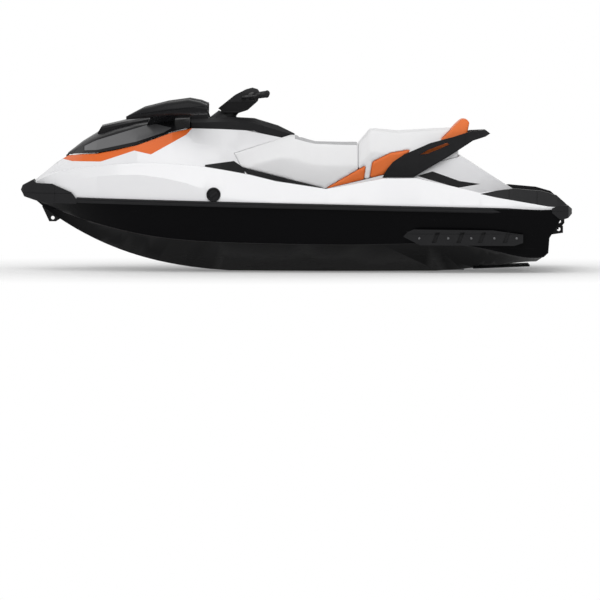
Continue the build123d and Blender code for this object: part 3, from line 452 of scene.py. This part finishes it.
def finished(form, name, body, slot, nodes=(), finish=None, smooth=True):
    """Turns a bmesh into a piece that rides on a body and replaces CAD nodes."""
    for face in form.faces:
        face.smooth = smooth
    mesh = meshed(form, name)
    mesh.materials.append(FINISHES[finish or slot].material)
    piece = placed(name, mesh)
    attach(piece, body)
    if nodes:
        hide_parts(*nodes)
    return piece


# Cushions: CAD node, piece and slot
SADDLE = "seat_driver"
PILLION = "seat_passenger"
CUSHIONS = [
    (SADDLE, "driver_cushion", "seat_white"),
    (PILLION, "passenger_cushion", "seat_white"),
    ("seat_accents", "accent_panels", "seat_orange"),
    ("seat_bolster", "back_bolster", "seat_orange"),
]
# Foam: grid size, and the rounds and strength of the smoothing that softens its edges
FOAM_GRID = 0.006
FOAM_ROUNDS = 10
FOAM_SOFTENING = 0.5
# Seams: their depth and width, and how much the cover faces up where they are pressed in
SEAM_DEPTH = 0.006
SEAM_WIDTH = 0.008
SEAM_FACING = 0.35
# The pair of seams along a cushion's top: distance from the middle, front and back ends
LONG_SEAMS = {SADDLE: (0.112, -0.02, -0.375), PILLION: (0.112, -0.47, -0.90)}
# The seam across a cushion's top: place along, half length
CROSS_SEAMS = {SADDLE: (-0.03, 0.112), PILLION: (-0.475, 0.112)}
# Stitches: half length, half width and half height, the step from one to the next, and their rows'
# distance from the seam
STITCH_HALVES = (0.003, 0.0009, 0.0008)
STITCH_PITCH = 0.010
STITCH_OFFSET = 0.009
# The saddle's top painted grey as painted shade: front and back edges, half width at the front, widening
# aft
SHADE_TOP_FRONT = 0.0
SHADE_TOP_BACK = -0.380
SHADE_TOP_HALF = 0.163
SHADE_TOP_FLARE = 0.0387
# The orange band on the passenger cushion's flanks: its front, the height and rise of its upper line,
# its width, and how much the cover faces aside there
FLANK_FRONT = -0.705
FLANK_FRONT_Z = 0.709
FLANK_RISE = 0.372
FLANK_HEIGHT = 0.058
FLANK_FACING = 0.5


def foam(name):
    """A CAD cushion gone over with an even grid and softened."""
    mesh = meshed(merged(name), name + "_foam")
    holder = placed(name + "_foam", mesh)
    grid = holder.modifiers.new("grid", "REMESH")
    grid.mode = "VOXEL"
    grid.voxel_size = FOAM_GRID
    evaluated = holder.evaluated_get(bpy.context.evaluated_depsgraph_get())
    form = bmesh.new()
    form.from_mesh(evaluated.to_mesh())
    evaluated.to_mesh_clear()
    bpy.data.objects.remove(holder)
    bpy.data.meshes.remove(mesh)
    for _ in range(FOAM_ROUNDS):
        bmesh.ops.smooth_vert(
            form, verts=form.verts, factor=FOAM_SOFTENING, use_axis_x=True, use_axis_y=True, use_axis_z=True
        )
    return form


def groove(distance):
    """How deep a seam presses the cover in at a distance from it."""
    return SEAM_DEPTH * exp(-((distance / SEAM_WIDTH) ** 2))


def sew(form, node):
    """Presses the seams of one cushion into its top."""
    across, front, back = LONG_SEAMS[node]
    along, half = CROSS_SEAMS[node]
    form.normal_update()
    for vert in form.verts:
        if vert.normal.z < SEAM_FACING:
            continue
        x, y, _ = vert.co
        depth = groove(abs(y) - across) if back < x < front else 0.0
        if abs(y) < half:
            depth = max(depth, groove(x - along))
        vert.co -= vert.normal * depth


def stitches(form, node, thread):
    """Adds a row of stitches on each side of the cushion's long seams."""
    top = BVHTree.FromBMesh(form)
    across, front, back = LONG_SEAMS[node]
    size = Matrix.Diagonal((*STITCH_HALVES, 1.0))
    for y in [side * (across + step * STITCH_OFFSET) for side in (-1, 1) for step in (-1, 1)]:
        for i in range(int((front - back) / STITCH_PITCH)):
            x = front - (i + 0.5) * STITCH_PITCH
            spot, normal, _, _ = top.ray_cast(Vector((x, y, CLEAR_ABOVE)), DOWN)
            if spot is None:
                continue
            turn = normal.to_track_quat("Z", "X").to_matrix().to_4x4()
            seat = Matrix.Translation(spot) @ turn @ size
            bmesh.ops.create_icosphere(thread, subdivisions=1, radius=1.0, matrix=seat)


def painted_shade_top(form):
    """Paints the saddle's upward-facing top grey as painted shade, cut along its edges so they are clean.
    """
    cut(form, ALONG * SHADE_TOP_FRONT, ALONG)
    cut(form, ALONG * SHADE_TOP_BACK, ALONG)
    for side in (1, -1):
        cut(form, ACROSS * side * SHADE_TOP_HALF, Vector((SHADE_TOP_FLARE, side, 0)))
    form.normal_update()
    for face in form.faces:
        x, y, _ = face.calc_center_median()
        across = abs(y) < SHADE_TOP_HALF - SHADE_TOP_FLARE * x
        # Upward-facing faces within the outline take the grey painted shade
        if across and SHADE_TOP_BACK < x < SHADE_TOP_FRONT and face.normal.z > 0:
            face.material_index = 1


def orange_flank(form):
    """Marks off the orange band along the cushion's flanks, behind the grab handle."""
    for z in (FLANK_FRONT_Z, FLANK_FRONT_Z - FLANK_HEIGHT):
        cut(form, Vector((FLANK_FRONT, 0, z)), Vector((FLANK_RISE, 0, 1)))
    cut(form, ALONG * FLANK_FRONT, ALONG)
    form.normal_update()
    for face in form.faces:
        x, _, z = face.calc_center_median()
        top = FLANK_FRONT_Z + (FLANK_FRONT - x) * FLANK_RISE
        if abs(face.normal.y) > FLANK_FACING and x < FLANK_FRONT and top - FLANK_HEIGHT < z < top:
            face.material_index = 1


# Cushions with a second finish: how it is marked off, and the finish; the saddle's is grey painted shade
SECOND_FINISHES = {SADDLE: (painted_shade_top, "seat_grey"), PILLION: (orange_flank, "seat_orange")}


def upholstery():
    """Seat cushions, accent panels and bolster as soft forms, with sewn seams."""
    thread = bmesh.new()
    for node, name, slot in CUSHIONS:
        form = foam(node)
        if node in LONG_SEAMS:
            sew(form, node)
            stitches(form, node, thread)
        mark_off, second = SECOND_FINISHES.get(node, (None, None))
        if mark_off:
            mark_off(form)
        piece = finished(form, name, "craft", slot, [node])
        # The second finish: on the saddle, the grey painted shade over its top
        if second:
            piece.data.materials.append(FINISHES[second].material)
    finished(thread, "seat_stitching", "craft", "seat_white")


# Ribbed rubber grips: the sides of their round form, the flange at the inner end, the bore as a share of
# the radius, the thickness of the end that closes it, and the ribs
GRIP_SIDES = 32
GRIP_FLANGE = 0.006
GRIP_FLANGE_RISE = 0.006
GRIP_BORE = 0.665
GRIP_END = 0.005
GRIP_RIBS = 15
GRIP_RIB_DEPTH = 0.0016
# One rib's outline: shares of its pitch along the grip, and of its depth inwards
GRIP_RIB = [(0.12, 1.0), (0.35, 0.0), (0.8, 0.0), (1.0, 1.0)]
# The outer end: its length, and its outline as distances from the end and rises over the ribs
GRIP_KNOB = 0.008
GRIP_KNOB_OUTLINE = [(0.004, 0.0015), (0.0, -0.003)]


def half_of(name, side):
    """Corners of a paired CAD node on one side of the craft."""
    return [vert.co for vert in NODES[name].data.vertices if vert.co.y * side > 0]


def middle(points):
    """Mean of some points."""
    return sum(points, Vector()) / len(points)


def rod_ends(name, side):
    """Inner and outer end of a straight round bar across the craft, and its radius."""
    corners = half_of(name, side)
    split = (min(c.y for c in corners) + max(c.y for c in corners)) / 2
    ends = [middle([c for c in corners if c.y < split]), middle([c for c in corners if c.y > split])]
    ends.sort(key=lambda end: abs(end.y))
    along = (ends[1] - ends[0]).normalized()
    radius = max((c - ends[0] - along * (c - ends[0]).dot(along)).length for c in corners)
    return ends[0], ends[1], radius


def turned_on(form, profile, start, along, sides):
    """Spins a profile of (distance, radius) into a solid about a line."""
    aside = along.orthogonal().normalized()
    verts = [form.verts.new(start + along * distance + aside * radius) for distance, radius in profile]
    edges = [form.edges.new(pair) for pair in zip(verts, verts[1:])]
    bmesh.ops.spin(
        form, geom=verts + edges, cent=start, axis=along, angle=2 * pi, steps=sides,
        use_merge=True, use_duplicate=False,
    )
    bmesh.ops.remove_doubles(form, verts=form.verts, dist=WELD)
    face_outwards(form)


def grips():
    """Ribbed grips with a flange at the inner end and a rounded outer end."""
    for side, name in ((1, "grip_port"), (-1, "grip_starboard")):
        start, end, radius = rod_ends("grips", side)
        length = (end - start).length
        bore = radius * GRIP_BORE
        rim = radius + GRIP_FLANGE_RISE
        profile = [(length - GRIP_END, 0.0), (length - GRIP_END, bore), (0.0, bore)]
        profile += [(0.0, rim), (GRIP_FLANGE, rim)]
        pitch = (length - GRIP_FLANGE - GRIP_KNOB) / GRIP_RIBS
        for i in range(GRIP_RIBS):
            at = GRIP_FLANGE + i * pitch
            profile += [(at + share * pitch, radius - sunk * GRIP_RIB_DEPTH) for share, sunk in GRIP_RIB]
        profile += [(length - back, radius + rise) for back, rise in GRIP_KNOB_OUTLINE]
        profile.append((length, 0.0))
        form = bmesh.new()
        turned_on(form, profile, start, (end - start).normalized(), GRIP_SIDES)
        finished(form, name, "steering", "rubber_black", ["grips"], smooth=False)


# Fuel cap: how far its face lies under the CAD cap's, its rounded edge, its rim and its dish, then the
# teeth on its edge, and the bar to turn it by
CAP_FACE_DROP = 0.007
CAP_EDGE = 0.003
CAP_RIM = 0.009
CAP_DISH = 0.007
CAP_DISH_EDGE = 0.014
CAP_TEETH = 28
CAP_TOOTH_EDGE = 0.004
CAP_TOOTH_LENGTH = 0.012
CAP_TOOTH_DEPTH = 0.0022
CAP_BAR = (0.05, 0.012, 0.014)
CAP_BAR_SUNK = 0.002
CAP_BAR_TILT = radians(35)
CAP_BAR_EDGE = 0.003


def fuel_cap():
    """Toothed cap with a dished face and a bar across it."""
    low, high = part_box("fuel_cap")
    centre = (low + high) / 2
    radius = (high.z - low.z) / 2
    start = Vector((centre.x, low.y, centre.z))
    face = high.y - low.y - CAP_FACE_DROP
    dish = face - CAP_DISH
    profile = [
        (0.0, 0.0), (0.0, radius), (face - CAP_EDGE, radius), (face, radius - CAP_EDGE),
        (face, radius - CAP_RIM), (dish, radius - CAP_DISH_EDGE), (dish, 0.0),
    ]
    form = bmesh.new()
    turned_on(form, profile, start, ACROSS, 2 * CAP_TEETH)
    for vert in form.verts:
        offset = vert.co - start
        level = offset.dot(ACROSS)
        spoke = offset - ACROSS * level
        if spoke.length > radius - CAP_TOOTH_EDGE and level > face - CAP_TOOTH_LENGTH:
            turn = round(Vector((spoke.x, spoke.z)).angle_signed(Vector((1, 0))) / (pi / CAP_TEETH))
            if turn % 2:
                vert.co -= spoke.normalized() * CAP_TOOTH_DEPTH
    bar = bmesh.ops.create_cube(form, size=1.0)["verts"]
    seat = Matrix.Translation(start + ACROSS * (dish + CAP_BAR[1] / 2 - CAP_BAR_SUNK))
    tilt = Matrix.Rotation(CAP_BAR_TILT, 4, "Y")
    bmesh.ops.transform(form, matrix=seat @ tilt @ Matrix.Diagonal((*CAP_BAR, 1.0)), verts=bar)
    bevelled(form, list({edge for vert in bar for edge in vert.link_edges}), CAP_BAR_EDGE)
    finished(form, "fuel_cap_knob", "craft", "trim_black", ["fuel_cap"], smooth=False)


# Bolts that hold the sponsons: places along, and height
SPONSON_BOLTS_X = (-0.755, -0.93, -1.07, -1.21, -1.345)
SPONSON_BOLT_Z = 0.214
# A bolt head: its sides, radius and height, then shares of its height for the lift over its seat, the
# dome and the socket's depth, and the share of its radius that the socket leaves as a rim
BOLT_SIDES = 16
BOLT_R = 0.0075
BOLT_HEIGHT = 0.005
BOLT_LIFT = 0.4
BOLT_DOME = 0.45
BOLT_DOME_SEGMENTS = 3
BOLT_SOCKET = 0.4
BOLT_RIM = 0.25


def furthest(faces, direction):
    """The face that lies furthest in a direction."""
    return max(faces, key=lambda face: face.calc_center_median().dot(direction))


def bolt(form, spot, normal):
    """A domed bolt head with a round socket, seated on a surface."""
    turn = normal.to_track_quat("Z", "Y").to_matrix().to_4x4()
    head = bmesh.ops.create_cone(
        form, cap_ends=True, segments=BOLT_SIDES, radius1=BOLT_R, radius2=BOLT_R, depth=BOLT_HEIGHT,
        matrix=Matrix.Translation(spot + normal * BOLT_HEIGHT * BOLT_LIFT) @ turn,
    )["verts"]
    top = furthest({face for vert in head for face in vert.link_faces}, normal)
    bevelled(form, list(top.edges), BOLT_HEIGHT * BOLT_DOME, BOLT_DOME_SEGMENTS)
    level = [face for face in form.faces if face.normal.dot(normal) > SAME_WAY]
    cap = furthest([face for face in level if (face.calc_center_median() - spot).length < BOLT_R], normal)
    bmesh.ops.inset_individual(
        form, faces=[cap], thickness=BOLT_R * BOLT_RIM, depth=-BOLT_HEIGHT * BOLT_SOCKET
    )


def sponson_bolts():
    """Bolt heads along both sponsons, seated by looking for their outer face."""
    form = bmesh.new()
    surface = BVHTree.FromBMesh(merged("sponsons"))
    for side in (1, -1):
        for x in SPONSON_BOLTS_X:
            beside = Vector((x, CLEAR_BESIDE * side, SPONSON_BOLT_Z))
            spot, normal, _, _ = surface.ray_cast(beside, Vector((0, -side, 0)))
            if spot is not None:
                form.normal_update()
                bolt(form, spot, normal)
    face_outwards(form)
    finished(form, "sponson_bolts", "craft", "steel", finish="bolt_steel", smooth=False)


# Raised diamonds of the mats: their pitch, the slant of their sides, the gap between them and their rise,
# then the width of their slopes as a share of the gap, the least area as a share of the pitch squared,
# and how much the mat faces up where they are
TREAD_PITCH = 0.034
TREAD_SLANT = 1.6
TREAD_GAP = 0.0035
TREAD_RISE = 0.003
TREAD_SLOPE = 0.4
TREAD_LEAST = 0.35
TREAD_FACING = 0.9


def treads(node, name):
    """A mat with raised diamonds: two runs of slanting cuts, then each cell is inset and lifted."""
    form = flattened(node)
    low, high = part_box(node)
    centre = (low + high) / 2
    steps = int((high - low).length / TREAD_PITCH / 2)
    for side in (1, -1):
        slant = Vector((1, side * TREAD_SLANT, 0)).normalized()
        for i in range(-steps, steps + 1):
            cut(form, centre + slant * i * TREAD_PITCH, slant)
    form.normal_update()
    least = TREAD_LEAST * TREAD_PITCH**2
    cells = [face for face in form.faces if face.normal.z > TREAD_FACING and face.calc_area() > least]
    inset(form, cells, TREAD_GAP, TREAD_GAP * TREAD_SLOPE, TREAD_RISE)
    finished(form, name, "craft", "mat_rubber", [node], smooth=False)


# Panels pressed into the steering cover: their margin, slope and depth, then which faces have them, by
# the turn that counts as flat, the least area and the number of edges they stay under
PANEL_MARGIN = 0.009
PANEL_SLOPE = 0.002
PANEL_DEPTH = 0.0025
PANEL_FLAT_ANGLE = radians(2)
PANEL_LEAST = 0.004
PANEL_EDGES = 12


def steering_pad():
    """Steering cover with pressed-in panels and rounded edges."""
    form = flattened("steering_cover", PANEL_FLAT_ANGLE)
    form.normal_update()
    panels = [f for f in form.faces if f.calc_area() > PANEL_LEAST and len(f.edges) < PANEL_EDGES]
    inset(form, panels, PANEL_MARGIN, PANEL_SLOPE, -PANEL_DEPTH)
    piece = finished(form, "steering_pad", "steering", "trim_black", ["steering_cover"])
    rounded(piece, EDGES["steering_cover"])


# Moulded lines: their width and depth, and the sharpest fold, in radians, that they are pressed over
LINE_WIDTH = 0.0016
LINE_DEPTH = 0.0022
LINE_FOLD = 0.6
# The slope of the line where hull and deck are bonded
BOND_LINE = Vector((-0.022, 0, 1))
# The node, the new piece, its body and slot, then planes as a point and a normal
MOULDED_LINES = [
    ("bow_bumper", "bow_fender", "craft", "rubber_black", [(UP * 0.478, UP), (ALONG * 1.47, ALONG)]),
    ("stern_bumper", "stern_fender", "craft", "rubber_black", [(UP * 0.378, UP)]),
    ("rub_rail", "rail_fender", "craft", "rubber_black", [(UP * 0.412, BOND_LINE)]),
    (
        "console", "console_shell", "craft", "trim_black",
        [(ACROSS * 0.124, ACROSS), (ACROSS * -0.124, ACROSS)],
    ),
    (
        "gunwale_pads", "gunwale_caps", "craft", "trim_black",
        [(ALONG * -1.30, ALONG), (ALONG * -1.47, ALONG)],
    ),
    ("grab_handle", "handle_loop", "craft", "trim_black", [(ALONG * -1.04, ALONG)]),
    ("sponsons", "sponson_fins", "craft", "trim_black", [(UP * 0.240, UP)]),
    (
        "hood", "hood_shell", "hood_lid", "hood_black",
        [(ACROSS * 0.075, ACROSS), (ACROSS * -0.075, ACROSS)],
    ),
]
# The stern bumper's slanted ends: their outward direction to port, where they begin to flare, and how far
# they stand out for each metre further aft
BUMPER_END = Vector((-0.447, 0.894, 0.0))
BUMPER_END_FRONT = -1.60
BUMPER_END_FLARE = 0.25


def press_line(form, point, normal, fold=LINE_FOLD):
    """Cuts a form along a plane and presses a narrow groove where its skin is smooth."""
    edges = [e for e in cut(form, point, normal) if isinstance(e, bmesh.types.BMEdge)]
    smooth = [e for e in edges if len(e.link_faces) == 2 and e.calc_face_angle(pi) < fold]
    made = bevelled(form, smooth, LINE_WIDTH)
    form.normal_update()
    strip = set(made["faces"])
    for vert in made["verts"]:
        if vert.link_faces and all(face in strip for face in vert.link_faces):
            vert.co -= vert.normal * LINE_DEPTH


def close_bumper_ends(form):
    """Closes the bumper's ends where the hull's corners come through, flared to cover them."""
    for side in (1, -1):
        out = Vector((BUMPER_END.x, side * BUMPER_END.y, 0.0))
        end = [face for face in form.faces if face.normal.dot(out) > SAME_WAY]
        bmesh.ops.delete(form, geom=end, context="FACES")
        rims = [edge for edge in form.edges if edge.is_boundary]
        patches = bmesh.ops.holes_fill(form, edges=rims, sides=0)["faces"]
        skin = max(patches, key=lambda face: face.calc_area())
        for vert in skin.verts:
            vert.co.y += side * BUMPER_END_FLARE * max(0.0, BUMPER_END_FRONT - vert.co.x)
    face_outwards(form)


def moulded_lines():
    """Moulded pieces with the lines pressed into their skins."""
    for node, name, body, slot, planes in MOULDED_LINES:
        form = flattened(node)
        if node == "stern_bumper":
            close_bumper_ends(form)
        for point, normal in planes:
            press_line(form, point, normal)
        rounded(finished(form, name, body, slot, [node]), EDGES.get(node, PLAIN_EDGE))


# Mirror pods: their rounded edges, the rim round the glass, and where the faces that hold it lie
POD_EDGE = 0.0025
GLASS_RIM = 0.005
GLASS_RIM_DEPTH = 0.0065
GLASS_FACING = 0.9
GLASS_REACH = 0.002
# The slanting line between a pod's cap and its shell, and the sharpest fold that it is pressed over
CAP_LINE_POINT = Vector((0.62, 0.0, 1.006))
CAP_LINE_NORMAL = Vector((0.12, 0.0, 1.0)).normalized()
CAP_LINE_FOLD = 1.2


def mirror_pods():
    """Mirror pods with a line between cap and shell, and a rim that holds the glass."""
    form = flattened("mirror_housings")
    press_line(form, CAP_LINE_POINT, CAP_LINE_NORMAL, CAP_LINE_FOLD)
    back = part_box("mirror_housings")[0].x + GLASS_REACH
    tails = [f for f in form.faces if f.normal.x < -GLASS_FACING and f.calc_center_median().x < back]
    for side in (1, -1):
        faces = [f for f in tails if f.is_valid and f.calc_center_median().y * side > 0]
        rim = bmesh.ops.inset_region(form, faces=faces, thickness=GLASS_RIM, depth=0.0)["faces"]
        grow(form, rim, ALONG * -GLASS_RIM_DEPTH)
        bmesh.ops.delete(form, geom=[face for face in rim if face.is_valid], context="FACES")
    face_outwards(form)
    rounded(finished(form, "mirror_pods", "hood_lid", "hood_black", ["mirror_housings"]), POD_EDGE)


# Rim round the gauge screen
GAUGE_RIM = 0.009
GAUGE_RIM_RISE = 0.007
GAUGE_RIM_EDGE = 0.002


def gauge_frame():
    """Rim round the gauge screen, raised from the screen's own outline."""
    form = flattened("gauge_screen")
    form.normal_update()
    screen = max(form.faces, key=lambda face: -face.normal.x * face.calc_area())
    out = screen.normal.copy()
    bmesh.ops.delete(form, geom=[face for face in form.faces if face is not screen], context="FACES")
    bmesh.ops.inset_individual(form, faces=[screen], thickness=GAUGE_RIM, depth=0.0)
    bmesh.ops.delete(form, geom=[screen], context="FACES")
    grow(form, form.faces[:], out * GAUGE_RIM_RISE, keep=True)
    face_outwards(form)
    rounded(finished(form, "gauge_rim", "craft", "trim_black"), GAUGE_RIM_EDGE)


# Floor: its half size and paper, then the half length and half width of the oval that takes the shadow,
# how far out it has faded to white, and the share of white within it
FLOOR_HALF = 30.0
FLOOR_COLOUR = (0.96, 0.96, 0.96)
FLOOR_ROUGHNESS = 0.7
OVAL_LENGTH = 1.9
OVAL_WIDTH = 1.1
OVAL_FADE = 2.0
OVAL_GLOW = 0.2
# Strength of the surround's own light
FILL = 0.5
# The overhead lamp: its spread, its strength and the way it leans
LAMP_SPREAD = radians(60)
LAMP_STRENGTH = 1.35
LAMP_LEAN = (radians(-38), radians(6), 0.0)
# The camera's sensor in millimetres, and how far it sees
SENSOR = 36.0
SIGHT = 200.0


def seen_plainly(tree):
    """1 where the camera, a reflection or a clear piece looks at the surround."""
    ray = tree.nodes.new("ShaderNodeLightPath").outputs
    shown = Value(tree, ray["Is Camera Ray"])
    for kind in ("Is Glossy Ray", "Is Transmission Ray"):
        shown = shown.maths("MAXIMUM", Value(tree, ray[kind]))
    return shown


def floor_paper():
    """Pale paper that takes a shadow within an oval and fades to white round it."""
    paper = Finish("floor_paper", FLOOR_COLOUR, FLOOR_ROUGHNESS)
    oval = paper.stretched((1 / OVAL_LENGTH, 1 / OVAL_WIDTH, 1.0))
    away = paper.node("ShaderNodeVectorMath", {0: oval}, {"operation": "LENGTH"}, "Value")
    white = paper.ranged(away, 1.0, OVAL_FADE, OVAL_GLOW)
    glow = paper.tree.nodes.new("ShaderNodeEmission")
    blend = paper.tree.nodes.new("ShaderNodeMixShader")
    feed(blend.inputs[0], white * seen_plainly(paper.tree))
    paper.tree.links.new(paper.shader.outputs[0], blend.inputs[1])
    paper.tree.links.new(glow.outputs[0], blend.inputs[2])
    paper.tree.links.new(blend.outputs[0], paper.output.inputs["Surface"])
    return paper.material


def studio():
    """Pale floor, white surround, one large soft lamp overhead and the photograph's camera."""
    scene = bpy.context.scene
    scene.view_settings.view_transform = "Standard"

    sheet = bmesh.new()
    bmesh.ops.create_grid(sheet, x_segments=1, y_segments=1, size=FLOOR_HALF)
    floor = placed("floor", meshed(sheet, "floor"))
    floor.data.materials.append(floor_paper())

    world = bpy.data.worlds.new("surround")
    world.use_nodes = True
    scene.world = world
    sky = world.node_tree.nodes["Background"]
    sky.inputs["Color"].default_value = (1.0, 1.0, 1.0, 1.0)
    feed(sky.inputs["Strength"], seen_plainly(world.node_tree) * (1.0 - FILL) + FILL)

    lamp = bpy.data.lights.new("overhead", "SUN")
    lamp.angle = LAMP_SPREAD
    lamp.energy = LAMP_STRENGTH
    placed("overhead", lamp).rotation_euler = LAMP_LEAN

    lens = bpy.data.cameras.new("photo_lens")
    lens.sensor_width = SENSOR
    lens.lens = SENSOR * VIEW_DISTANCE / (PHOTO_SIZE * METRES_A_PIXEL)
    lens.clip_end = SIGHT
    camera = placed("photo_camera", lens)
    away = Vector((0.0, cos(VIEW_RISE), sin(VIEW_RISE)))
    camera.location = FRAME_MIDDLE + VIEW_DISTANCE * away
    camera.rotation_euler = (-away).to_track_quat("-Z", "Y").to_euler()
    scene.camera = camera


dress_frame()
upholstery()
grips()
fuel_cap()
sponson_bolts()
treads("footwell_mats", "footwell_treads")
treads("platform_mat", "platform_treads")
steering_pad()
moulded_lines()
mirror_pods()
gauge_frame()
studio()
